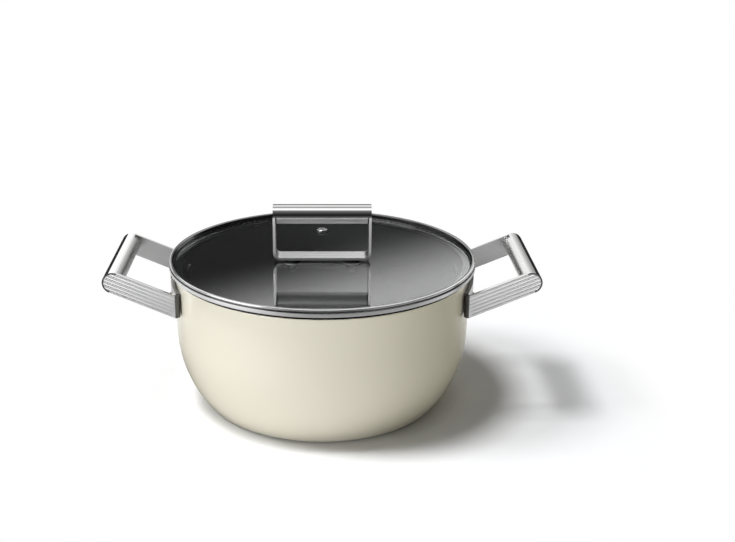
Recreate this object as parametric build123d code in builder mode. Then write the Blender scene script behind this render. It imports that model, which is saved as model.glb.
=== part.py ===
"""Two-handled casserole with a flat glass lid.

Millimetres, +Z up. The origin is the centre of the base, where the pot stands.
+X runs towards the right side handle, -Y is the front.
"""
import os
from math import asin, cos, radians, sin, sqrt, tan

from build123d import *

# ---------------------------------------------------------------- pot shell
band_radius = 125.5         # the lid ring's widest edge, which sizes the whole pot
pot_height = 113.0          # base to the bare top face of the wall, where the lid rests
wall_inset = 4.3            # coated wall behind the ring's edge, at the shoulder
wall_taper = 0.66           # degrees that the wall leans in towards the base
wall_thickness = 3.4        # bare aluminium
floor_thickness = 5.5
corner_radius = 95.0        # large bend between wall and base, outside
corner_start = 61.0         # height where the wall runs into that bend
floor_corner_radius = 12.0  # inside, between the bend and the flat floor
foot_inset = 23.7           # foot's edge behind the coated wall
foot_height = 1.5
coat_thickness = 0.4        # cream coat outside
coat_foot_gap = 0.5         # bare edge left at the bottom of the foot
lining_thickness = 0.25     # black coat inside

lip_height = 0.4            # bare top of the wall, above the coated shoulder
lip_depth = 0.8             # behind the bare wall's face
lip_round = 0.3

# ------------------------------------------------------------- induction base
disc_inset = 13.5           # disc's edge behind the foot's edge
disc_thickness = 1.0
disc_recess = 0.4           # the disc sits this far above the foot's plane
disc_pocket_gap = 0.15
disc_hole_radius = 3.0
disc_hole_rings = 4
disc_plain_edge = 12.0      # from the outer ring of holes to the disc's edge
disc_ring_holes = 6         # in the first ring, and as many more in each next

# ------------------------------------------------------------------ lid ring
ring_sheet = 0.5
ring_width = 3.5            # from the ring's widest edge to its inner wall
band_rise = 2.5             # the plain band starts this far above the pot's wall
band_height = 3.3
neck_height = 0.6           # valley between the band and the rolled edge
neck_depth = 1.1            # behind the band
bead_height = 2.1           # rolled edge
bead_inset = 0.5            # behind the band
bead_round = 1.0
edge_round = 0.5
ring_flange = 6.3           # the flange reaches this far in under the glass
skirt_depth = 2.5           # turned down inside the pot's mouth, to centre the lid

# --------------------------------------------------------------------- glass
glass_thickness = 4.0
glass_edge_round = 0.6
gasket_side = 0.3
gasket_under = 0.3
gasket_seat = 1.0           # the gasket reaches this far in under the glass

# -------------------------------------------------------- grips and brackets
grip_radius = 8.6           # outside of the half-pipe cover
grip_cover_thickness = 1.25
grip_gap = 0.05             # radial, between the pieces of a grip
core_wall = 1.6
rib_grooves = 6
rib_pitch = 2.9
rib_groove_width = 1.7
rib_groove_depth = 0.35

# ---------------------------------------------------------------- side handles
handle_span = 102.0         # over the outer faces of the two arms
handle_length = 43.2        # coated wall to grip axis
plate_drop = 18.7           # middle of the wall plate below the wall's top face
arm_rise = 22.9             # degrees above level
arm_thickness = 2.8
arm_bend_radius = 4.5       # outside of the bend from wall plate to arm
plate_gap = 0.6             # wall plate to pot wall

rivet_inset = 22.3          # across Y, rivet behind the arm's outer face
rivet_head_radius = 6.0
rivet_head_height = 2.2
rivet_head_round = 2.0
rivet_shank_radius = 3.0
rivet_tail_radius = 4.6
rivet_tail_height = 1.2
rivet_gap = 0.1

# ------------------------------------------------------------------ lid handle
lid_handle_width = 80.0
lid_strip_thickness = 2.0
lid_bend_radius = 6.0
lid_grip_height = 37.6      # grip axis above the glass
stud_inset = 15.5           # stud behind the leg's outer face
stud_radius = 2.5
stud_gap = 0.1
stud_tip = 1.0              # stud end beyond the nut's hexagon
spacer_radius = 6.0
spacer_height = 1.2
sleeve_wall = 0.9           # silicone collar inside the glass hole
sleeve_gap = 0.1
washer_radius = 7.0
seal_washer_height = 1.5
steel_washer_height = 1.0
nut_across_flats = 8.0
nut_height = 4.0
cap_radius = 3.6
cap_height = 3.2
cap_round = 2.2
cap_space = 0.6             # between the stud's end and the cap

# ------------------------------------------------------------------------ vent
vent_inset = 49.0           # from the ring's edge, at the back
vent_flange_radius = 4.8
vent_flange_height = 1.2
vent_flange_round = 1.0
vent_tube_radius = 2.7
vent_bore_radius = 1.8
vent_gap = 0.15
vent_roll_radius = 4.2
vent_roll_height = 0.8
vent_washer_radius = 6.0
vent_washer_height = 0.6

# ------------------------------------------------------------ worked-out sizes
taper = radians(wall_taper)
rise = radians(arm_rise)

wall_radius = band_radius - wall_inset
foot_radius = wall_radius - foot_inset
disc_radius = foot_radius - disc_inset
lip_radius = wall_radius - coat_thickness - lip_depth
shoulder_round = coat_thickness + lip_depth
shoulder_top = pot_height - lip_height
shoulder_height = shoulder_top - shoulder_round
bare_inset = coat_thickness
inner_inset = coat_thickness + wall_thickness
lining_inset = inner_inset + lining_thickness
corner_axis = wall_radius - (shoulder_height - corner_start) * tan(taper) - corner_radius * cos(taper)
corner_height = corner_start + corner_radius * sin(taper)

ring_bore = band_radius - ring_width
neck_radius = band_radius - neck_depth
bead_radius = band_radius - bead_inset
flange_top = pot_height + ring_sheet
band_bottom = pot_height + band_rise
band_top = band_bottom + band_height
bead_bottom = band_top + neck_height
lid_crest = bead_bottom + bead_height
skirt_bottom = pot_height - skirt_depth
glass_radius = ring_bore - gasket_side
flange_radius = glass_radius - ring_flange
glass_bottom = flange_top + gasket_under
glass_top = glass_bottom + glass_thickness

cover_bore = grip_radius - grip_cover_thickness
core_radius = cover_bore - grip_gap
plate_height = pot_height - plate_drop
handle_reach = wall_radius + handle_length
rivet_spacing = handle_span - 2 * rivet_inset
stud_spacing = lid_handle_width - 2 * stud_inset
vent_offset = band_radius - vent_inset
strip_width = 2 * grip_radius
plate_half_height = grip_radius / cos(rise)
groove_tool = (rib_groove_width**2 / 4 + rib_groove_depth**2) / (2 * rib_groove_depth)


def wall_at(height, inset=0.0):
    """Radius of the straight wall at a height, moved in square to the wall."""
    return wall_radius - (shoulder_height - height) * tan(taper) - inset / cos(taper)


def bend_at(height, inset=0.0):
    """Radius of the large bend at a height, moved in square to the surface."""
    return corner_axis + sqrt((corner_radius - inset) ** 2 - (corner_height - height) ** 2)


def wall_curve(top, bottom, inset=0.0):
    """Draw the wall and the large bend from the height top down to bottom."""
    radius = corner_radius - inset
    start = (corner_axis + radius * cos(taper), corner_height - radius * sin(taper))
    end = (bend_at(bottom, inset), bottom)
    turn = (taper + asin((corner_height - bottom) / radius)) / 2
    middle = (corner_axis + radius * cos(turn), corner_height - radius * sin(turn))
    Line((wall_at(top, inset), top), start)
    ThreePointArc(start, middle, end)


def floor_vertex(sketch, height):
    """The corner of a section where the large bend meets the flat floor."""
    level = sketch.vertices().filter_by_position(Axis.Y, height - 0.01, height + 0.01)
    return level.sort_by(Axis.X)[-1]


def rib_offsets():
    """Places of the grooves across a strip, from one edge to the other."""
    return [(index - (rib_grooves - 1) / 2) * rib_pitch for index in range(rib_grooves)]


def half_pipe():
    """Draw a grip cover's section, open towards the plane's -X."""
    Circle(grip_radius)
    Circle(cover_bore, mode=Mode.SUBTRACT)
    Rectangle(grip_radius, 2 * grip_radius, align=(Align.MIN, Align.CENTER), mode=Mode.INTERSECT)


def pipe():
    """Draw a grip core's section."""
    Circle(core_radius)
    Circle(core_radius - core_wall, mode=Mode.SUBTRACT)


def save(piece, name):
    """Label a finished piece and write its STEP file."""
    piece.part.label = name
    export_step(piece.part, f"parts/{name}.step")


os.makedirs("parts", exist_ok=True)

# ================================================================== the pot
plate_radius = wall_at(plate_height + plate_half_height) + plate_gap
plate_face = plate_radius + arm_thickness
rivet_angle = asin(rivet_spacing / 2 / plate_radius)


def rivet_planes(side):
    """The planes at the pot's axis that look out along a handle's two rivets."""
    planes = {}
    for name, front in (("front", -1), ("rear", 1)):
        outward = (side * cos(rivet_angle), front * sin(rivet_angle), 0)
        planes[name] = Plane(origin=(0, 0, plate_height), x_dir=(0, 0, 1), z_dir=outward)
    return planes


def drill_rivet_holes():
    """Cut the rivet holes of both handles from the piece being built."""
    for side in (-1, 1):
        for plane in rivet_planes(side).values():
            with BuildSketch(plane) as hole:
                Circle(rivet_shank_radius + rivet_gap)
            extrude(hole.sketch, amount=handle_reach, mode=Mode.SUBTRACT)


with BuildPart() as pot_body:
    step = foot_height + coat_thickness
    with BuildSketch(Plane.XZ) as shell_section:
        with BuildLine():
            wall_curve(shoulder_height, step, bare_inset)
            Polyline(
                (bend_at(step, bare_inset), step),
                (foot_radius - coat_thickness, step),
                (foot_radius - coat_thickness, coat_foot_gap),
                (foot_radius, coat_foot_gap),
                (foot_radius, 0),
                (0, 0),
                (0, floor_thickness),
                (bend_at(floor_thickness, inner_inset), floor_thickness),
            )
            wall_curve(pot_height, floor_thickness, inner_inset)
            Polyline(
                (wall_at(pot_height, inner_inset), pot_height),
                (lip_radius, pot_height),
                (lip_radius, shoulder_top - coat_thickness),
                (wall_at(shoulder_height, bare_inset), shoulder_height),
            )
        make_face()
        fillet(floor_vertex(shell_section, floor_thickness), floor_corner_radius)
    revolve(axis=Axis.Z)
    lip_edge = pot_body.edges().group_by(Axis.Z)[-1].sort_by(SortBy.RADIUS)[-1]
    fillet(lip_edge, lip_round)
    with BuildSketch():
        Circle(disc_radius + disc_pocket_gap)
    extrude(amount=disc_recess + disc_thickness, mode=Mode.SUBTRACT)
    drill_rivet_holes()
save(pot_body, "pot_body")

with BuildPart() as outer_enamel:
    round_centre = wall_radius - shoulder_round
    round_middle = shoulder_round * sqrt(0.5)
    with BuildSketch(Plane.XZ):
        with BuildLine():
            wall_curve(shoulder_height, foot_height)
            Polyline(
                (bend_at(foot_height), foot_height),
                (foot_radius, foot_height),
                (foot_radius, coat_foot_gap),
                (foot_radius - coat_thickness, coat_foot_gap),
                (foot_radius - coat_thickness, step),
                (bend_at(step, bare_inset), step),
            )
            wall_curve(shoulder_height, step, bare_inset)
            Polyline(
                (wall_at(shoulder_height, bare_inset), shoulder_height),
                (lip_radius, shoulder_top - coat_thickness),
                (lip_radius, shoulder_top),
            )
            ThreePointArc(
                (lip_radius, shoulder_top),
                (round_centre + round_middle, shoulder_height + round_middle),
                (wall_at(shoulder_height), shoulder_height),
            )
        make_face()
    revolve(axis=Axis.Z)
    drill_rivet_holes()
save(outer_enamel, "outer_enamel")

with BuildPart() as nonstick_lining:
    lined_floor = floor_thickness + lining_thickness
    with BuildSketch(Plane.XZ) as lining_section:
        with BuildLine():
            wall_curve(pot_height, floor_thickness, inner_inset)
            Polyline(
                (bend_at(floor_thickness, inner_inset), floor_thickness),
                (0, floor_thickness),
                (0, lined_floor),
                (bend_at(lined_floor, lining_inset), lined_floor),
            )
            wall_curve(pot_height, lined_floor, lining_inset)
            Line(
                (wall_at(pot_height, lining_inset), pot_height),
                (wall_at(pot_height, inner_inset), pot_height),
            )
        make_face()
        fillet(floor_vertex(lining_section, floor_thickness), floor_corner_radius)
        fillet(floor_vertex(lining_section, lined_floor), floor_corner_radius - lining_thickness)
    revolve(axis=Axis.Z)
    drill_rivet_holes()
save(nonstick_lining, "nonstick_lining")

with BuildPart() as induction_base:
    with BuildSketch(Plane.XY.offset(disc_recess)):
        Circle(disc_radius)
        for ring in range(1, disc_hole_rings + 1):
            ring_radius = ring * (disc_radius - disc_plain_edge) / disc_hole_rings
            with PolarLocations(ring_radius, ring * disc_ring_holes):
                Circle(disc_hole_radius, mode=Mode.SUBTRACT)
    extrude(amount=disc_thickness)
save(induction_base, "induction_base")

# --------------------------------------------------------------- side handles
arm_face = handle_span / 2
arm_inner_face = arm_face - arm_thickness
bend_middle = arm_bend_radius - arm_thickness / 2
bend_y = arm_face - arm_bend_radius
bend_distance = plate_radius + arm_bend_radius
bend_x = sqrt(bend_distance**2 - bend_y**2)
arm_root = bend_x - bend_middle / 2
grip_height = plate_height + (handle_reach - arm_root) * tan(rise)
arm_end = handle_reach + 2 * grip_radius
rivet_seat_radius = wall_at(plate_height - rivet_head_radius, lining_inset)
rivet_seat = sqrt(rivet_seat_radius**2 - rivet_head_radius**2)


def strip_side(side, circle_radius, bend, face):
    """Draw one face of the bent strip in plan: round the wall, the bend, the arm."""
    unit_x, unit_y = bend_x / bend_distance, bend_y / bend_distance
    middle_x, middle_y = -unit_x, 1 - unit_y
    length = sqrt(middle_x**2 + middle_y**2)
    touch = (side * unit_x * circle_radius, unit_y * circle_radius)
    middle = (side * (bend_x + bend * middle_x / length), bend_y + bend * middle_y / length)
    start = (side * circle_radius * cos(asin(unit_y) / 2), circle_radius * sin(asin(unit_y) / 2))
    ThreePointArc((side * circle_radius, 0), start, touch)
    ThreePointArc(touch, middle, (side * bend_x, face))
    Line((side * bend_x, face), (side * arm_end, face))


for side_name, side in (("left", -1), ("right", 1)):
    arm_direction = (side * cos(rise), 0, sin(rise))

    with BuildPart() as bracket:
        with BuildSketch():
            with BuildLine():
                strip_side(side, plate_radius, arm_bend_radius, arm_face)
                strip_side(side, plate_face, arm_bend_radius - arm_thickness, arm_inner_face)
                Line((side * plate_radius, 0), (side * plate_face, 0))
                Line((side * arm_end, arm_face), (side * arm_end, arm_inner_face))
            make_face()
            mirror(about=Plane.XZ)
        extrude(amount=grip_height + 2 * grip_radius)
        with BuildSketch(Plane.XZ):
            with BuildLine():
                Polyline(
                    (0, plate_height - plate_half_height),
                    (side * arm_root, plate_height - plate_half_height),
                    (side * (handle_reach + grip_radius * sin(rise)), grip_height - grip_radius * cos(rise)),
                    (side * (handle_reach - grip_radius * sin(rise)), grip_height + grip_radius * cos(rise)),
                    (side * arm_root, plate_height + plate_half_height),
                    (0, plate_height + plate_half_height),
                    close=True,
                )
            make_face()
            with Locations((side * handle_reach, grip_height)):
                Circle(core_radius)
        extrude(amount=arm_face, both=True, mode=Mode.INTERSECT)
        for front in (-1, 1):
            groove_start = (side * arm_root, front * arm_face, plate_height)
            groove_plane = Plane(origin=groove_start, x_dir=(0, front, 0), z_dir=arm_direction)
            with BuildSketch(groove_plane):
                with Locations(*[(groove_tool - rib_groove_depth, place) for place in rib_offsets()]):
                    Circle(groove_tool)
            extrude(amount=arm_end - arm_root, mode=Mode.SUBTRACT)
        drill_rivet_holes()
    save(bracket, f"{side_name}_handle_bracket")

    for place, plane in rivet_planes(side).items():
        with BuildPart() as rivet:
            with BuildSketch(plane.offset(rivet_seat - rivet_head_height)):
                Circle(rivet_head_radius)
            extrude(amount=rivet_head_height)
            head_edge = rivet.edges().sort_by(Axis(plane.origin, plane.z_dir))[0]
            fillet(head_edge, rivet_head_round)
            with BuildSketch(plane.offset(rivet_seat)):
                Circle(rivet_shank_radius)
            extrude(amount=plate_face - rivet_seat)
            with BuildSketch(plane.offset(plate_face)):
                Circle(rivet_tail_radius)
            extrude(amount=rivet_tail_height)
        save(rivet, f"{side_name}_handle_rivet_{place}")

    with BuildPart() as grip_core:
        with BuildSketch(Plane((side * handle_reach, -arm_inner_face, grip_height), z_dir=(0, 1, 0))):
            pipe()
        extrude(amount=2 * arm_inner_face)
    save(grip_core, f"{side_name}_grip_core")

    with BuildPart() as grip_cover:
        cover_plane = Plane((side * handle_reach, -arm_face, grip_height),
                            x_dir=arm_direction, z_dir=(0, 1, 0))
        with BuildSketch(cover_plane):
            half_pipe()
        extrude(amount=handle_span)
    save(grip_cover, f"{side_name}_grip_cover")

# ================================================================== the lid
stud_places = [(-stud_spacing / 2, 0), (stud_spacing / 2, 0)]
stud_hole = stud_radius + stud_gap
sleeve_radius = stud_hole + sleeve_wall
vent_place = [(0, vent_offset)]

with BuildPart() as lid_glass:
    with BuildSketch(Plane.XY.offset(glass_bottom)):
        Circle(glass_radius)
    extrude(amount=glass_thickness)
    fillet(lid_glass.edges(), glass_edge_round)
    with BuildSketch(Plane.XY.offset(glass_bottom)):
        with Locations(*stud_places):
            Circle(sleeve_radius + sleeve_gap)
        with Locations(*vent_place):
            Circle(vent_tube_radius + vent_gap)
    extrude(amount=glass_thickness, mode=Mode.SUBTRACT)
save(lid_glass, "lid_glass")

with BuildPart() as lid_ring:
    with BuildSketch(Plane.XZ) as ring_section:
        with BuildLine():
            Polyline(
                (flange_radius, flange_top),
                (flange_radius, skirt_bottom),
                (flange_radius + ring_sheet, skirt_bottom),
                (flange_radius + ring_sheet, pot_height),
                (ring_bore + ring_sheet, pot_height),
                (ring_bore + ring_sheet, band_bottom),
                (band_radius, band_bottom),
                (band_radius, band_top),
                (neck_radius, band_top),
                (neck_radius, bead_bottom),
                (bead_radius, bead_bottom),
                (bead_radius, lid_crest),
                (ring_bore, lid_crest),
                (ring_bore, flange_top),
                close=True,
            )
        make_face()
        outer_corners = ring_section.vertices().filter_by(
            lambda corner: corner.X > neck_radius + edge_round / 2 and corner.Y < lid_crest - edge_round)
        fillet(outer_corners, edge_round)
        fillet(ring_section.vertices().group_by(Axis.Y)[-1], bead_round)
    revolve(axis=Axis.Z)
save(lid_ring, "lid_ring")

with BuildPart() as glass_gasket:
    with BuildSketch(Plane.XZ):
        with BuildLine():
            Polyline(
                (ring_bore, flange_top),
                (ring_bore, glass_top),
                (glass_radius, glass_top),
                (glass_radius, glass_bottom),
                (glass_radius - gasket_seat, glass_bottom),
                (glass_radius - gasket_seat, flange_top),
                close=True,
            )
        make_face()
    revolve(axis=Axis.Z)
save(glass_gasket, "glass_gasket")

# ------------------------------------------------------------------------ vent
washer_bottom = glass_bottom - vent_washer_height
roll_bottom = washer_bottom - vent_roll_height

with BuildPart() as vent_eyelet:
    with BuildSketch(Plane.XY.offset(glass_top)):
        with Locations(*vent_place):
            Circle(vent_flange_radius)
    extrude(amount=vent_flange_height)
    fillet(vent_eyelet.edges().group_by(Axis.Z)[-1], vent_flange_round)
    with BuildSketch(Plane.XY.offset(roll_bottom)):
        with Locations(*vent_place):
            Circle(vent_tube_radius)
    extrude(amount=glass_top - roll_bottom)
    with BuildSketch(Plane.XY.offset(roll_bottom)):
        with Locations(*vent_place):
            Circle(vent_roll_radius)
    extrude(amount=vent_roll_height)
    with BuildSketch(Plane.XY.offset(roll_bottom)):
        with Locations(*vent_place):
            Circle(vent_bore_radius)
    extrude(amount=lid_crest - roll_bottom, mode=Mode.SUBTRACT)
save(vent_eyelet, "vent_eyelet")

with BuildPart() as vent_washer:
    with BuildSketch(Plane.XY.offset(washer_bottom)):
        with Locations(*vent_place):
            Circle(vent_washer_radius)
            Circle(vent_tube_radius + vent_gap, mode=Mode.SUBTRACT)
    extrude(amount=vent_washer_height)
save(vent_washer, "vent_washer")

# ------------------------------------------------------------------ lid handle
lid_plate_bottom = glass_top + spacer_height
lid_grip_axis = glass_top + lid_grip_height
leg_face = lid_handle_width / 2
leg_inner_face = leg_face - lid_strip_thickness
leg_top = lid_grip_axis + 2 * grip_radius
leg_height = leg_top - lid_plate_bottom

with BuildPart() as lid_handle_bracket:
    with BuildSketch(Plane.XZ) as strip_section:
        with Locations((0, lid_plate_bottom)):
            Rectangle(lid_handle_width, leg_height, align=(Align.CENTER, Align.MIN))
        fillet(strip_section.vertices().group_by(Axis.Y)[0], lid_bend_radius)
    extrude(amount=grip_radius, both=True)
    with BuildSketch(Plane.XZ) as strip_inside:
        with Locations((0, lid_plate_bottom + lid_strip_thickness)):
            Rectangle(2 * leg_inner_face, leg_height, align=(Align.CENTER, Align.MIN))
        fillet(strip_inside.vertices().group_by(Axis.Y)[0], lid_bend_radius - lid_strip_thickness)
    extrude(amount=grip_radius, both=True, mode=Mode.SUBTRACT)
    with BuildSketch(Plane.YZ):
        with Locations((0, lid_plate_bottom)):
            Rectangle(strip_width, lid_grip_axis - lid_plate_bottom, align=(Align.CENTER, Align.MIN))
        with Locations((0, lid_grip_axis)):
            Circle(core_radius)
    extrude(amount=leg_face, both=True, mode=Mode.INTERSECT)
    with BuildSketch(Plane.XY.offset(lid_plate_bottom + lid_bend_radius)):
        for outward in (-1, 1):
            groove_x = outward * (leg_face + groove_tool - rib_groove_depth)
            with Locations(*[(groove_x, place) for place in rib_offsets()]):
                Circle(groove_tool)
    extrude(amount=leg_height, mode=Mode.SUBTRACT)
save(lid_handle_bracket, "lid_handle_bracket")

with BuildPart() as lid_grip_core:
    with BuildSketch(Plane((-leg_inner_face, 0, lid_grip_axis), z_dir=(1, 0, 0))):
        pipe()
    extrude(amount=2 * leg_inner_face)
save(lid_grip_core, "lid_grip_core")

with BuildPart() as lid_grip_cover:
    with BuildSketch(Plane((-leg_face, 0, lid_grip_axis), x_dir=(0, 0, 1), z_dir=(1, 0, 0))):
        half_pipe()
    extrude(amount=lid_handle_width)
save(lid_grip_cover, "lid_grip_cover")

# ------------------------------------------------- clamp through the glass
seal_washer_bottom = glass_bottom - seal_washer_height
steel_washer_bottom = seal_washer_bottom - steel_washer_height
nut_bottom = steel_washer_bottom - nut_height
cap_bottom = nut_bottom - cap_height
stud_bottom = nut_bottom - stud_tip

for side_name, place in zip(("left", "right"), stud_places):
    with BuildPart() as stud:
        with BuildSketch(Plane.XY.offset(stud_bottom)):
            with Locations(place):
                Circle(stud_radius)
        extrude(amount=lid_plate_bottom - stud_bottom)
    save(stud, f"{side_name}_lid_stud")

    with BuildPart() as spacer:
        with BuildSketch(Plane.XY.offset(glass_top)):
            with Locations(place):
                Circle(spacer_radius)
        extrude(amount=spacer_height)
        with BuildSketch(Plane.XY.offset(glass_bottom)):
            with Locations(place):
                Circle(sleeve_radius)
        extrude(amount=glass_thickness)
        with BuildSketch(Plane.XY.offset(glass_bottom)):
            with Locations(place):
                Circle(stud_hole)
        extrude(amount=glass_thickness + spacer_height, mode=Mode.SUBTRACT)
    save(spacer, f"{side_name}_lid_spacer")

    for name, bottom, height in (
        ("seal_washer", seal_washer_bottom, seal_washer_height),
        ("steel_washer", steel_washer_bottom, steel_washer_height),
    ):
        with BuildPart() as washer:
            with BuildSketch(Plane.XY.offset(bottom)):
                with Locations(place):
                    Circle(washer_radius)
                    Circle(stud_hole, mode=Mode.SUBTRACT)
            extrude(amount=height)
        save(washer, f"{side_name}_{name}")

    with BuildPart() as cap_nut:
        with BuildSketch(Plane.XY.offset(cap_bottom)):
            with Locations(place):
                Circle(cap_radius)
        extrude(amount=cap_height)
        fillet(cap_nut.edges().group_by(Axis.Z)[0], cap_round)
        with BuildSketch(Plane.XY.offset(nut_bottom)):
            with Locations(place):
                RegularPolygon(nut_across_flats / 2, 6, major_radius=False)
        extrude(amount=nut_height)
        with BuildSketch(Plane.XY.offset(stud_bottom - cap_space)):
            with Locations(place):
                Circle(stud_hole)
        extrude(amount=nut_height + stud_tip + cap_space, mode=Mode.SUBTRACT)
    save(cap_nut, f"{side_name}_cap_nut")
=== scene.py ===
"""Looks for the two-handled casserole with a glass lid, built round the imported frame.

Lengths are metres in the frame: x to the right, y away from the camera, z up. The pot stands
on z = 0 with its axis at x = y = 0.
"""

from math import cos, pi, radians, sin

import bpy
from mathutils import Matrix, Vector


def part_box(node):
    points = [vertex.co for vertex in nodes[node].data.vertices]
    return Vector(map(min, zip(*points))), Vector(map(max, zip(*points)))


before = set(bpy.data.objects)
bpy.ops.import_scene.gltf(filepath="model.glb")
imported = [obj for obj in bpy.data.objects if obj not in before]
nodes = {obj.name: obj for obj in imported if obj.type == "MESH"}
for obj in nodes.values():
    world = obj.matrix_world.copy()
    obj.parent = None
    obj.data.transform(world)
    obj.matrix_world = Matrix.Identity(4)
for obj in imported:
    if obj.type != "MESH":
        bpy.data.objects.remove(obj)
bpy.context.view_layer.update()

# ------------------------------------------------------------------- measures
RING_WIDTH = 0.0035
ARM_RISE = radians(22.9)
ring_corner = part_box("lid_ring")[1]
crest = ring_corner.z
ring_bore = ring_corner.x - RING_WIDTH
vent_low, vent_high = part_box("vent_eyelet")
vent_place = (vent_low.y + vent_high.y) / 2
lid_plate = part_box("lid_handle_bracket")[0].z

# Where a finish, a painted shade or a painted highlight changes: the change begins at the first number
# and is complete at the second.
RING_WALL = (-0.0002, 0.0001)           # outwards from the ring's bore
RING_LIP = (0.0002, 0.0008)
RING_OUTSIDE = (0.0019, 0.0025)
RING_BAND = (0.0028, 0.0031)            # down from the ring's crest
RING_UNDER_GLASS = (0.0060, 0.0062)
RING_VALLEY = 0.0022                    # the middle of the ring's valley, down from its crest
RING_VALLEY_SIDE = (0.0006, 0.0009)     # up or down from that middle
ARM_INSIDE = (0.0488, 0.0496)           # |y| on a side bracket
BEND_ASIDE = (0.0440, 0.0450)
BEND_OUT = (0.1160, 0.1166)             # |x| on a side bracket
STRIP_EDGE = (0.0083, 0.0085)           # |y| on the lid's bracket
STRIP_RISE = (0.002, 0.008)             # up from the lid's base plate
VENT_HOLLOW = (0.0026, 0.0030)          # outwards from the vent's axis
VENT_RIM = (0.0036, 0.0041)
CORE_END = (0.0366, 0.0374)             # |x| on the lid's grip core
RIVET_BARE = (0.1186, 0.1190)           # outwards from the pot's axis
PAPER_ENDS = (0.235, 0.29)              # where the floor turns plain white: from the pot's axis
PAPER_LEFT_END = (-0.145, -0.125)       # and, on its left, in x

# --------------------------------------------------------------------- camera
PHOTO_WIDTH = 735
FOCAL_PIXELS = 1168
SENSOR = 36.0
VIEW_PITCH = 19.75
VIEW_DISTANCE = 0.910
VIEW_ABOVE_CREST = 0.312
VIEW_SHIFT = 0.0617

camera_data = bpy.data.cameras.new("camera")
camera_data.sensor_width = SENSOR
camera_data.lens = FOCAL_PIXELS * SENSOR / PHOTO_WIDTH
camera_data.shift_x = VIEW_SHIFT
camera_data.clip_start = 0.01
camera_data.clip_end = 100
camera = bpy.data.objects.new("camera", camera_data)
bpy.context.scene.collection.objects.link(camera)
camera.location = (0, -VIEW_DISTANCE, crest + VIEW_ABOVE_CREST)
camera.rotation_euler = (radians(90 - VIEW_PITCH), 0, 0)
bpy.context.scene.camera = camera
bpy.context.scene.view_settings.view_transform = "Standard"
bpy.context.scene.view_settings.look = "None"


# --------------------------------------------------------------- node helpers
class Tree:
    """A material's or the world's node tree, with short ways to add and join nodes.

    place is the object's own coordinates, which are the frame's, or the world's direction,
    and x, y and z are its parts.
    """

    def __init__(self, name, world=False):
        self.data = (bpy.data.worlds if world else bpy.data.materials).new(name)
        self.data.use_nodes = True
        self.tree = self.data.node_tree
        self.tree.nodes.clear()
        self.output = self.add("ShaderNodeOutputWorld" if world else "ShaderNodeOutputMaterial")
        self.place = self.add("ShaderNodeTexCoord").outputs["Generated" if world else "Object"]
        self.x, self.y, self.z = self.add("ShaderNodeSeparateXYZ", {0: self.place}).outputs

    def add(self, kind, inputs=None, **settings):
        """A new node; each input is joined to a socket or set to a value."""
        node = self.tree.nodes.new(kind)
        for name, value in settings.items():
            setattr(node, name, value)
        for key, value in (inputs or {}).items():
            if isinstance(value, bpy.types.NodeSocket):
                self.tree.links.new(value, node.inputs[key])
            else:
                node.inputs[key].default_value = value
        return node

    def math(self, operation, *values):
        return self.add("ShaderNodeMath", dict(enumerate(values)), operation=operation).outputs[0]

    def plus(self, a, b):
        return self.math("ADD", a, b)

    def minus(self, a, b):
        return self.math("SUBTRACT", a, b)

    def times(self, a, b):
        return self.math("MULTIPLY", a, b)

    def greater(self, a, b):
        return self.math("MAXIMUM", a, b)

    def absolute(self, value):
        return self.math("ABSOLUTE", value)

    def radius(self, centre=0.0):
        """Distance from an upright axis at x = 0, y = centre."""
        y = self.minus(self.y, centre)
        return self.math("SQRT", self.plus(self.times(self.x, self.x), self.times(y, y)))

    def mix(self, factor, a, b, mode="MIX"):
        node = self.add("ShaderNodeMix", {0: factor, 6: a, 7: b}, data_type="RGBA", blend_type=mode)
        return node.outputs[2]

    def ramp(self, value, start, end, low=0.0, high=1.0, kind="LINEAR"):
        """low up to start and high from end on; start may be the greater of the two."""
        stops = dict(enumerate((value, start, end, low, high)))
        return self.add("ShaderNodeMapRange", stops, clamp=True, interpolation_type=kind).outputs[0]

    def smooth(self, value, start, end, low=0.0, high=1.0):
        return self.ramp(value, start, end, low, high, "SMOOTHSTEP")

    def grey_ramp(self, value, stops):
        """Greys blended through (place, brightness) stops."""
        node = self.add("ShaderNodeValToRGB", {0: value})
        elements = node.color_ramp.elements
        elements.remove(elements[-1])
        elements[0].position, elements[0].color = stops[0][0], grey(stops[0][1])
        for at, brightness in stops[1:]:
            elements.new(at).color = grey(brightness)
        return node.outputs[0]

    def noise(self, vector, scale, detail=2.0, rough=0.5, distortion=0.0):
        return self.add("ShaderNodeTexNoise", {
            "Vector": vector, "Scale": scale, "Detail": detail,
            "Roughness": rough, "Distortion": distortion}).outputs["Fac"]

    def lines(self, u, v, detail, rough):
        """Noise over u and v; it makes lines where one of them changes much faster."""
        vector = self.add("ShaderNodeCombineXYZ", {0: u, 1: v}).outputs[0]
        return self.noise(vector, 1, detail, rough)

    def bump(self, height, distance, strength):
        return self.add("ShaderNodeBump", {
            "Height": height, "Distance": distance, "Strength": strength}).outputs[0]

    def rays(self):
        """What kind of ray is looking, and how often it has turned."""
        return self.add("ShaderNodeLightPath").outputs

    def mirror_rays(self, rays):
        """1 for rays that a shine has turned, also where they left through the glass again."""
        turned = self.math("GREATER_THAN", rays["Glossy Depth"], 0.5)
        return self.greater(self.times(turned, rays["Is Transmission Ray"]), rays["Is Glossy Ray"])

    def shader(self, kind, inputs=None):
        return self.add("ShaderNode" + kind, inputs).outputs[0]

    def glow(self, strength):
        return self.shader("Emission", {0: grey(1.0), 1: strength})

    def finish(self, shader):
        """Join a shader to the output, and give the finished material or world."""
        self.tree.links.new(shader, self.output.inputs[0])
        return self.data

    def surface(self, inputs):
        """A finished material with one Principled shader."""
        return self.finish(self.shader("BsdfPrincipled", inputs))


def grey(value):
    return (value, value, value, 1)


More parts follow.
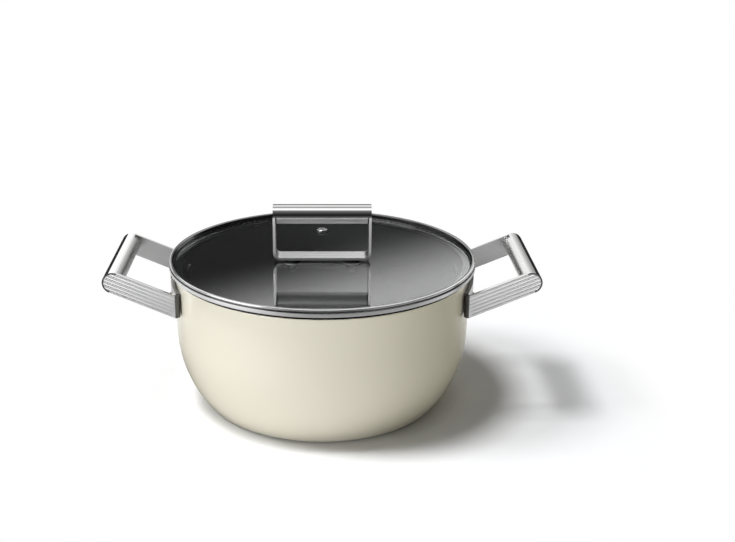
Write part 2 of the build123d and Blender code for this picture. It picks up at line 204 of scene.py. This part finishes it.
def steel(value):
    """A steel's grey, which is a touch warm."""
    return (value, value, value - 0.005, 1)


def dimmed(colour, share):
    return tuple(part * share for part in colour[:3]) + (1,)


# --------------------------------------------------------------- turned metal
def turned_metal(name, colour, rough, line_scale, zones=None):
    """Metal turned on a lathe, with fine lines round the pot's axis."""
    t = Tree(name)
    radius = t.radius()
    angle = t.math("ARCTAN2", t.y, t.x)
    lines = t.lines(t.times(t.plus(radius, t.z), line_scale), t.times(angle, 0.8), 3, 0.7)
    patches = t.noise(t.place, 60)
    satin = t.ramp(t.plus(lines, patches), 0.7, 1.3, rough - 0.05, rough + 0.07)
    if zones:
        colour, satin, lines = zones(t, radius, satin, lines)
    return t.surface({
        "Base Color": t.mix(t.ramp(lines, 0.0, 1.0, 0.18, 0.0), colour, grey(0)),
        "Metallic": 1.0,
        "Roughness": satin,
        "Normal": t.bump(lines, 0.00002, 0.4),
    })


def ring_zones(t, radius, satin, lines):
    """The lid ring: a satin band outside, polished elsewhere; painted shade darkens its valley, its
    recess and the steel inside its bead.
    """
    out = t.minus(radius, ring_bore)
    down = t.minus(crest, t.z)
    from_valley = t.absolute(t.minus(down, RING_VALLEY))
    outside = t.ramp(out, *RING_OUTSIDE)
    band = t.times(outside, t.ramp(down, *RING_BAND))
    valley = t.times(outside, t.ramp(from_valley, *RING_VALLEY_SIDE, 0.75, 0))
    recess = t.times(t.ramp(out, *RING_WALL), t.ramp(down, *RING_UNDER_GLASS, 0, 0.95))
    # Painted shade: inside the bead's outer side the steel is painted darker, darkest on the bore's
    # wall and the flange under the glass.
    colour = t.mix(outside, t.mix(t.ramp(out, *RING_LIP), grey(0.14), grey(0.34)), grey(0.78))
    # Painted shade: the valley under the rolled edge and the recess are painted near black.
    colour = t.mix(t.greater(valley, recess), colour, grey(0.02))
    return colour, t.mix(band, grey(0.10), satin), t.times(lines, t.ramp(band, 0, 1, 0.3, 1))


# -------------------------------------------------------------- brushed metal
def brushed_metal(name, colour, rough, along, across, zones):
    """Metal brushed one way: along and across are weights of |x|, y and z."""
    t = Tree(name)
    out = t.absolute(t.x)

    def weigh(weights):
        out_share, y_share, z_share = (t.times(*pair) for pair in zip((out, t.y, t.z), weights))
        return t.plus(t.plus(out_share, y_share), z_share)

    lines = t.lines(weigh(along), weigh(across), 4, 0.75)
    colour, metallic = zones(t, t.mix(lines, dimmed(colour, 0.80), colour))
    return t.surface({
        "Base Color": colour,
        "Metallic": metallic,
        "Roughness": t.ramp(lines, 0.3, 0.7, rough - 0.06, rough + 0.06),
        "Normal": t.bump(lines, 0.00001, 0.15),
    })


def side_bracket_zones(t, colour):
    """A side bracket: painted shade darkens the insides of its arms, and the bends beside the pot's
    wall are painted near black as painted shade.
    """
    out, aside = t.absolute(t.x), t.absolute(t.y)
    # Painted shade on the arms' inner faces.
    painted_inside_shade = t.mix(1.0, colour, grey(0.72), "MULTIPLY")
    colour = t.mix(t.ramp(aside, *ARM_INSIDE, 1, 0), colour, painted_inside_shade)
    # Painted shade in the bends beside the pot's wall.
    bend = t.times(t.ramp(aside, *BEND_ASIDE), t.ramp(out, *BEND_OUT, 0.84, 0))
    return t.mix(bend, colour, grey(0.02)), 1.0


def lid_bracket_zones(t, colour):
    """The lid's bracket: its strip has satin edges, with painted shade darkening them along the base
    plate.
    """
    edge = t.ramp(t.absolute(t.y), *STRIP_EDGE)
    up = t.minus(t.z, lid_plate)
    # Painted shade: the strip's edges darken towards the base plate.
    satin = t.mix(t.ramp(up, *STRIP_RISE), grey(0.20), grey(0.68))
    return t.mix(edge, colour, satin), t.ramp(edge, 0, 1, 1.0, 0.2)


# ------------------------------------------------------------- polished metal
def polished_metal(name, colour, rough, zones=None):
    """Polished metal with faint smudges and hairlines."""
    t = Tree(name)
    smudge = t.noise(t.place, 45, 3, 0.6, 0.4)
    drawn_out = t.add("ShaderNodeMapping", {"Vector": t.place, "Scale": (1500, 90, 1500)})
    hair = t.noise(drawn_out.outputs[0], 1, 3, 0.7)
    wear = t.plus(smudge, t.times(hair, 0.4))
    colour = t.mix(smudge, dimmed(colour, 0.94), colour)
    return t.surface({
        "Base Color": zones(t, colour) if zones else colour,
        "Metallic": 1.0,
        "Roughness": t.ramp(wear, 0.5, 0.9, rough, rough + 0.07),
        "Normal": t.bump(hair, 0.000008, 0.25),
    })


def vent_zones(t, colour):
    """The eyelet, in painted light: a painted highlight round its bore, then painted shade in its
    hollow and a painted dark reflection on its rim.
    """
    radius = t.radius(vent_place)
    # Painted shade in the hollow, and a painted dark reflection on the rim.
    outer = t.mix(t.ramp(radius, *VENT_RIM), grey(0.10), grey(0.28))
    # A painted highlight round the bore.
    return t.mix(t.ramp(radius, *VENT_HOLLOW), grey(0.66), outer)


def lid_core_zones(t, colour):
    """The lid's grip core: painted shade darkens its ends, in the corners beside the legs."""
    return t.mix(t.ramp(t.absolute(t.x), *CORE_END), colour, grey(0.04))


# ----------------------------------------------------------- coats and others
def cream_coat():
    """Cream enamel with clouds, specks and a faint orange peel."""
    t = Tree("cream_coat")
    cloud = t.noise(t.place, 9, 3)
    speck = t.noise(t.place, 900, 2, 0.7)
    peel = t.noise(t.place, 420, 3, 0.55)
    colour = t.mix(cloud, (0.740, 0.703, 0.578, 1), (0.755, 0.720, 0.594, 1))
    return t.surface({
        "Base Color": t.mix(t.ramp(speck, 0.62, 0.80, 0, 0.25), colour, (0.70, 0.66, 0.53, 1)),
        "Roughness": t.ramp(peel, 0.3, 0.7, 0.42, 0.50),
        "Specular IOR Level": 0.5,
        "Coat Weight": 0.8,
        "Coat Roughness": 0.15,
        "Normal": t.bump(peel, 0.00003, 0.5),
    })


def black_lining():
    """The black coat inside the pot, with fine paler specks."""
    t = Tree("black_lining")
    fine = t.noise(t.place, 1400, 2, 0.6)
    broad = t.noise(t.place, 40, 3)
    colour = t.mix(t.ramp(fine, 0.62, 0.74, 0, 0.5), grey(0.056), grey(0.07))
    return t.surface({
        "Base Color": t.mix(t.times(broad, 0.3), colour, grey(0.035)),
        "Roughness": t.ramp(broad, 0.3, 0.7, 0.34, 0.43),
        "Normal": t.bump(fine, 0.00003, 0.4),
    })


def coated_rivet():
    """A rivet: coated like the lining inside the pot, bare steel outside."""
    t = Tree("coated_rivet")
    fine = t.noise(t.place, 1400, 2, 0.6)
    bare = t.ramp(t.radius(), *RIVET_BARE)
    coat = t.mix(fine, grey(0.04), grey(0.06))
    return t.surface({
        "Base Color": t.mix(bare, coat, t.mix(fine, grey(0.60), grey(0.68))),
        "Metallic": bare,
        "Roughness": t.ramp(fine, 0.3, 0.7, 0.20, 0.28),
        "Normal": t.bump(fine, 0.00002, 0.3),
    })


def black_silicone():
    t = Tree("black_silicone")
    fine = t.noise(t.place, 1100, 2, 0.6)
    return t.surface({
        "Base Color": t.mix(fine, grey(0.010), grey(0.022)),
        "Roughness": t.ramp(fine, 0.3, 0.7, 0.50, 0.62),
        "Normal": t.bump(fine, 0.00003, 0.4),
    })


def lid_glass():
    """Tempered glass: lamps shine through it, and wiped-on haze roughens it a little."""
    t = Tree("lid_glass")
    haze = t.noise(t.place, 22, 3, 0.6, 0.6)
    glass = t.shader("BsdfPrincipled", {
        "Base Color": t.mix(haze, (0.93, 0.95, 0.94, 1), (0.96, 0.97, 0.965, 1)),
        "Roughness": t.ramp(haze, 0.3, 0.8, 0.0, 0.012),
        "IOR": 1.5,
        "Transmission Weight": 1.0,
    })
    clear = t.shader("BsdfTransparent", {0: (0.80, 0.82, 0.81, 1)})
    return t.finish(t.shader("MixShader", {0: t.rays()["Is Shadow Ray"], 1: glass, 2: clear}))


# ------------------------------------------------------------------ materials
LINES_ALONG = 14        # changes per metre along the brushed lines
LINES_ACROSS = 2600     # and across them
rise_x, rise_z = cos(ARM_RISE), sin(ARM_RISE)
slot_materials = {
    "bare_aluminium": turned_metal("bare_aluminium", grey(0.80), rough=0.30, line_scale=5200),
    "cream_coat": cream_coat(),
    "black_lining": black_lining(),
    "base_steel": turned_metal("base_steel", steel(0.68), rough=0.34, line_scale=3000),
    "lid_glass": lid_glass(),
    "ring_steel": turned_metal("ring_steel", grey(0.72), 0.34, 2600, ring_zones),
    "black_silicone": black_silicone(),
    "brushed_steel": brushed_metal(
        "brushed_steel", grey(0.78), rough=0.32, zones=side_bracket_zones,
        along=(LINES_ALONG * rise_x, LINES_ALONG, LINES_ALONG * rise_z),
        across=(-LINES_ACROSS * rise_z, 0, LINES_ACROSS * rise_x)),
    "satin_steel": polished_metal("satin_steel", steel(0.66), rough=0.34),
    "polished_steel": polished_metal("polished_steel", steel(0.74), rough=0.035),
    "coated_rivet": coated_rivet(),
}
core_steel = polished_metal("core_steel", steel(0.66), rough=0.26)
node_materials = {
    "lid_handle_bracket": brushed_metal(
        "lid_handle_steel", grey(0.80), rough=0.26, zones=lid_bracket_zones,
        along=(LINES_ALONG, 0, LINES_ALONG), across=(0, LINES_ACROSS, 0)),
    "lid_grip_core": polished_metal("lid_core_steel", steel(0.72), 0.52, lid_core_zones),
    "vent_eyelet": polished_metal("vent_steel", steel(0.68), 0.27, vent_zones),
    "left_grip_core": core_steel,
    "right_grip_core": core_steel,
}
for node_name, node in nodes.items():
    slot = node.material_slots[0].material.name.split(".")[0]
    for material_slot in node.material_slots:
        material_slot.material = node_materials.get(node_name, slot_materials[slot])


# ---------------------------------------------------------------------- world
EVEN_LIGHT = (0.118, 0.117, 0.117, 1)
BRIGHTEST = 2.0
# Brightness above the pot, by degrees from level behind it, over it, to level in front of it.
OVERHEAD = (
    (0, 0.02), (26, 0.05), (30, 0.9), (33, 1.0), (55, 1.1), (62, 1.0), (66, 0.55), (88, 0.5),
    (91, 1.7), (111, 1.5), (116, 0.32), (123, 0.26), (135, 0.15), (146, 0.08), (156, 0.04),
    (170, 0.01), (178, 0.05))


def studio():
    """White for the camera, an even light on dull things, and a graded room in shiny ones."""
    t = Tree("studio", world=True)
    rays = t.rays()

    half_turns = t.math("DIVIDE", t.math("ARCTAN2", t.z, t.y), pi)
    over = t.grey_ramp(half_turns, [(angle / 180, level / BRIGHTEST) for angle, level in OVERHEAD])
    over = t.mix(1.0, over, grey(BRIGHTEST), "MULTIPLY")
    brighter_left = t.ramp(t.x, -1.0, 1.0, 0.9, 0.12)
    ends = t.times(brighter_left, t.ramp(t.z, 0.1, 0.5, 0.35, 1.0))
    room = t.mix(t.ramp(t.absolute(t.x), 0.55, 0.9), over, ends)
    light = t.mix(t.mirror_rays(rays), EVEN_LIGHT, room)

    bounces = t.plus(rays["Diffuse Depth"], rays["Glossy Depth"])
    through_glass = t.times(rays["Is Transmission Ray"], t.math("LESS_THAN", bounces, 0.5))
    seen = t.greater(rays["Is Camera Ray"], through_glass)
    return t.finish(t.shader("Background", {0: t.mix(seen, light, grey(1.0)), 1: 1.0}))


bpy.context.scene.world = studio()


# ---------------------------------------------------------------------- floor
def sheet(name, corners):
    """A flat stage object with four corners."""
    mesh = bpy.data.meshes.new(name)
    mesh.from_pydata(corners, [], [(0, 1, 2, 3)])
    obj = bpy.data.objects.new(name, mesh)
    bpy.context.scene.collection.objects.link(obj)
    return obj


def lying(left, right, front, back, height):
    """Corners of a level sheet."""
    return [(left, front, height), (right, front, height), (right, back, height), (left, back, height)]


def standing(start, end, bottom, top):
    """Corners of an upright sheet over the line from start to end, each an (x, y)."""
    return [(*start, bottom), (*end, bottom), (*end, top), (*start, top)]


def floor_paper():
    """Paper that is plain white to the camera away from the pot, and dim in mirrors; painted contact
    shadow darkens it near the pot.
    """
    t = Tree("floor_paper")
    rays = t.rays()
    grain = t.mix(t.noise(t.place, 300, 3), grey(0.80), grey(0.82))
    paper = t.mix(rays["Is Camera Ray"], grain, (1.07, 1.08, 1.10, 1))
    # Painted contact shadow: the paper darkens where the pot crowds it.
    painted_contact_shadow = t.add("ShaderNodeAmbientOcclusion", {"Distance": 0.045}, samples=16).outputs["AO"]
    paper = t.mix(1.0, paper, t.ramp(painted_contact_shadow, 0.25, 0.62, 0.62, 1.0), "MULTIPLY")
    mirrored = t.glow(t.ramp(t.y, -0.3, 0.1, 0.10, 0.03))

    away = t.greater(t.ramp(t.radius(), *PAPER_ENDS), t.ramp(t.x, *PAPER_LEFT_END, 1.0, 0.0))
    plain = t.times(away, rays["Is Camera Ray"])
    seen = t.shader("MixShader", {0: plain, 1: t.shader("BsdfDiffuse", {0: paper}), 2: t.glow(1.0)})
    return t.finish(t.shader("MixShader", {0: t.mirror_rays(rays), 1: seen, 2: mirrored}))


FLOOR_REACH = 6.0
floor = sheet("floor", lying(-FLOOR_REACH, FLOOR_REACH, -FLOOR_REACH, FLOOR_REACH, height=0))
floor.data.materials.append(floor_paper())


# ---------------------------------------------------------------------- cards
def link_to(source, receivers):
    """Let a lamp or a card light only the named objects."""
    group = bpy.data.collections.new(source.name + "_receivers")
    for receiver in receivers:
        group.objects.link(bpy.data.objects[receiver])
    source.light_linking.receiver_collection = group


def card(name, corners, brightness, receivers):
    """A lit card that only the named objects mirror; brightness gives its level from its tree."""
    obj = sheet(name, corners)
    t = Tree(name)
    both = t.shader("AddShader", {0: t.glow(brightness(t)), 1: t.shader("BsdfTransparent")})
    obj.data.materials.append(t.finish(both))
    for kind in ("camera", "diffuse", "shadow", "volume_scatter"):
        setattr(obj, "visible_" + kind, False)
    link_to(obj, receivers)


def low_card(name, height, brightness, receivers):
    """A card just above the floor; two at one height would swallow each other's light."""
    card(name, lying(-1.2, 1.2, -1.6, 1.2, height), brightness, receivers)


def lid_gradient(t):
    """Dark at the bottom and left, bright at the top and right."""
    middle_height, fall_to_right = 0.3612, 0.2542
    above_middle = t.plus(t.minus(t.z, middle_height), t.times(t.x, fall_to_right))
    return t.times(t.math("POWER", t.smooth(above_middle, -0.062, 0.050), 1.35), 1.27)


def grip_gradient(t):
    """Dark low down, and brighter at the left."""
    return t.times(t.ramp(t.x, -1.2, 3.0, 1.35, 0.40), t.smooth(t.z, 1.2, 1.6))


def arm_gradient(t):
    """Bright in front of the front arms, dark nearer the pot, bright again behind it."""
    front = t.times(t.smooth(t.y, -0.24, -0.30), t.ramp(t.x, -0.4, 0.4, 1.45, 1.3))
    return t.greater(front, t.smooth(t.y, 0.02, 0.12, 0.0, 0.85))


def ring_gradient(t):
    """Bright at the sides, grey in front, with the dark strip that the rolled edge mirrors."""
    left = t.times(t.smooth(t.x, -0.22, -0.30), t.ramp(t.y, -0.25, -0.05, 1.2, 0.85))
    right = t.times(t.smooth(t.x, 0.26, 0.34), t.smooth(t.y, -0.25, -0.05, 0.35, 0.85))
    strip_place = -0.45
    from_strip = t.absolute(t.minus(t.y, strip_place))
    front = t.times(t.ramp(t.x, -0.2, 0.4, 0.55, 0.35), t.smooth(from_strip, 0.05, 0.10, 0.06, 1.0))
    return t.greater(t.greater(left, right), front)


def core_gradient(t):
    """The grips' cores mirror the floor behind the pot, brighter at the right."""
    return t.times(t.smooth(t.y, 0.0, 0.15), t.ramp(t.x, -0.2, 0.2, 0.35, 1.1))


def coat_gradient(t):
    """The coat mirrors bright floor behind the pot along its outline."""
    return t.smooth(t.y, 0.0, 0.15, 0.0, 0.8)


def ring_side_level(t):
    """One level all over."""
    return 1.7


def front_gradient(t):
    """Grey, and a little brighter low down."""
    return t.ramp(t.z, 0.0, 0.55, 0.5, 0.3)


def edge_gradient(t):
    """Bright from a little above its lower edge."""
    return t.ramp(t.z, 0.22, 0.30, 0.0, 1.3)


def left_gradient(t):
    """Bright from a little left of its right edge."""
    return t.smooth(t.x, -0.18, -0.24, 0.0, 1.1)


lid_bracket = ["lid_handle_bracket"]
side_brackets = ["left_handle_bracket", "right_handle_bracket"]
side_cores = ["left_grip_core", "right_grip_core"]
side_covers = ["left_grip_cover", "right_grip_cover"]
front_metal = side_brackets + lid_bracket + ["lid_grip_core"]

card("lid_card", standing((-0.7, 0.6), (0.7, 0.6), bottom=0.12, top=0.9),
     lid_gradient, lid_bracket + ["lid_glass", "lid_ring", "vent_eyelet"])
card("grip_card", standing((-8, 9), (8, 9), bottom=0.2, top=5.3),
     grip_gradient, side_covers + side_cores + side_brackets)
low_card("arm_card", 0.002, arm_gradient, front_metal)
low_card("core_card", 0.004, core_gradient, side_cores)
low_card("ring_card", 0.001, ring_gradient, ["lid_ring"])
card("ring_side", standing((-0.66, -0.75), (-1.0, -0.09), bottom=0.05, top=0.9),
     ring_side_level, ["lid_ring"])
low_card("coat_card", 0.003, coat_gradient, ["outer_enamel"])
card("front_card", standing((-0.8, -0.6), (0.8, -0.6), bottom=0.0, top=0.55),
     front_gradient, front_metal)
card("edge_card", standing((-0.8, -0.62), (0.8, -0.62), bottom=0.22, top=0.55),
     edge_gradient, lid_bracket)
card("left_card", standing((-0.7, 0.6), (-0.18, 0.6), bottom=0.015, top=0.36),
     left_gradient, ["lid_ring"])

# ---------------------------------------------------------------------- lamps
LAMP_DISTANCE = 3.0
LAMP_AIM = Vector((0, 0, 0.05))


def lamp(name, receivers, azimuth, elevation, size, irradiance, colour=(1, 1, 1)):
    """A soft lamp by its direction in degrees, azimuth from the front towards the left."""
    data = bpy.data.lights.new(name, "AREA")
    data.shape = "ELLIPSE"
    data.size, data.size_y = size
    data.energy = irradiance * (pi * LAMP_DISTANCE) ** 2
    data.color = colour
    obj = bpy.data.objects.new(name, data)
    bpy.context.scene.collection.objects.link(obj)
    azimuth, elevation = radians(azimuth), radians(elevation)
    level = LAMP_DISTANCE * cos(elevation)
    obj.location = (-level * sin(azimuth), -level * cos(azimuth), LAMP_DISTANCE * sin(elevation))
    obj.rotation_euler = (LAMP_AIM - obj.location).to_track_quat("-Z", "Y").to_euler()
    link_to(obj, receivers)


# The ring, the glass and the grips' covers would mirror the lamps as ragged white spots.
lit = [name for name in nodes
       if name not in ("lid_ring", "lid_glass") and not name.endswith("grip_cover")]
lamp("key", lit + [floor.name], azimuth=80, elevation=73, size=(0.95, 0.95), irradiance=0.62)
lamp("low_key", [floor.name], azimuth=85, elevation=48, size=(0.95, 0.95), irradiance=0.42)
lamp("front_fill", [name for name in lit if name not in lid_bracket],
     azimuth=44, elevation=9, size=(1.8, 0.8), irradiance=0.69, colour=(1.0, 1.0, 1.02))
lamp("edge_fill", lid_bracket, azimuth=0, elevation=18, size=(2.4, 1.5), irradiance=0.45)
lamp("right_fill", ["outer_enamel"],
     azimuth=-80, elevation=15, size=(0.8, 0.8), irradiance=0.13, colour=(1.0, 0.94, 0.60))
lamp("back_fill", ["outer_enamel"], azimuth=170, elevation=20, size=(1.5, 0.8), irradiance=0.30)
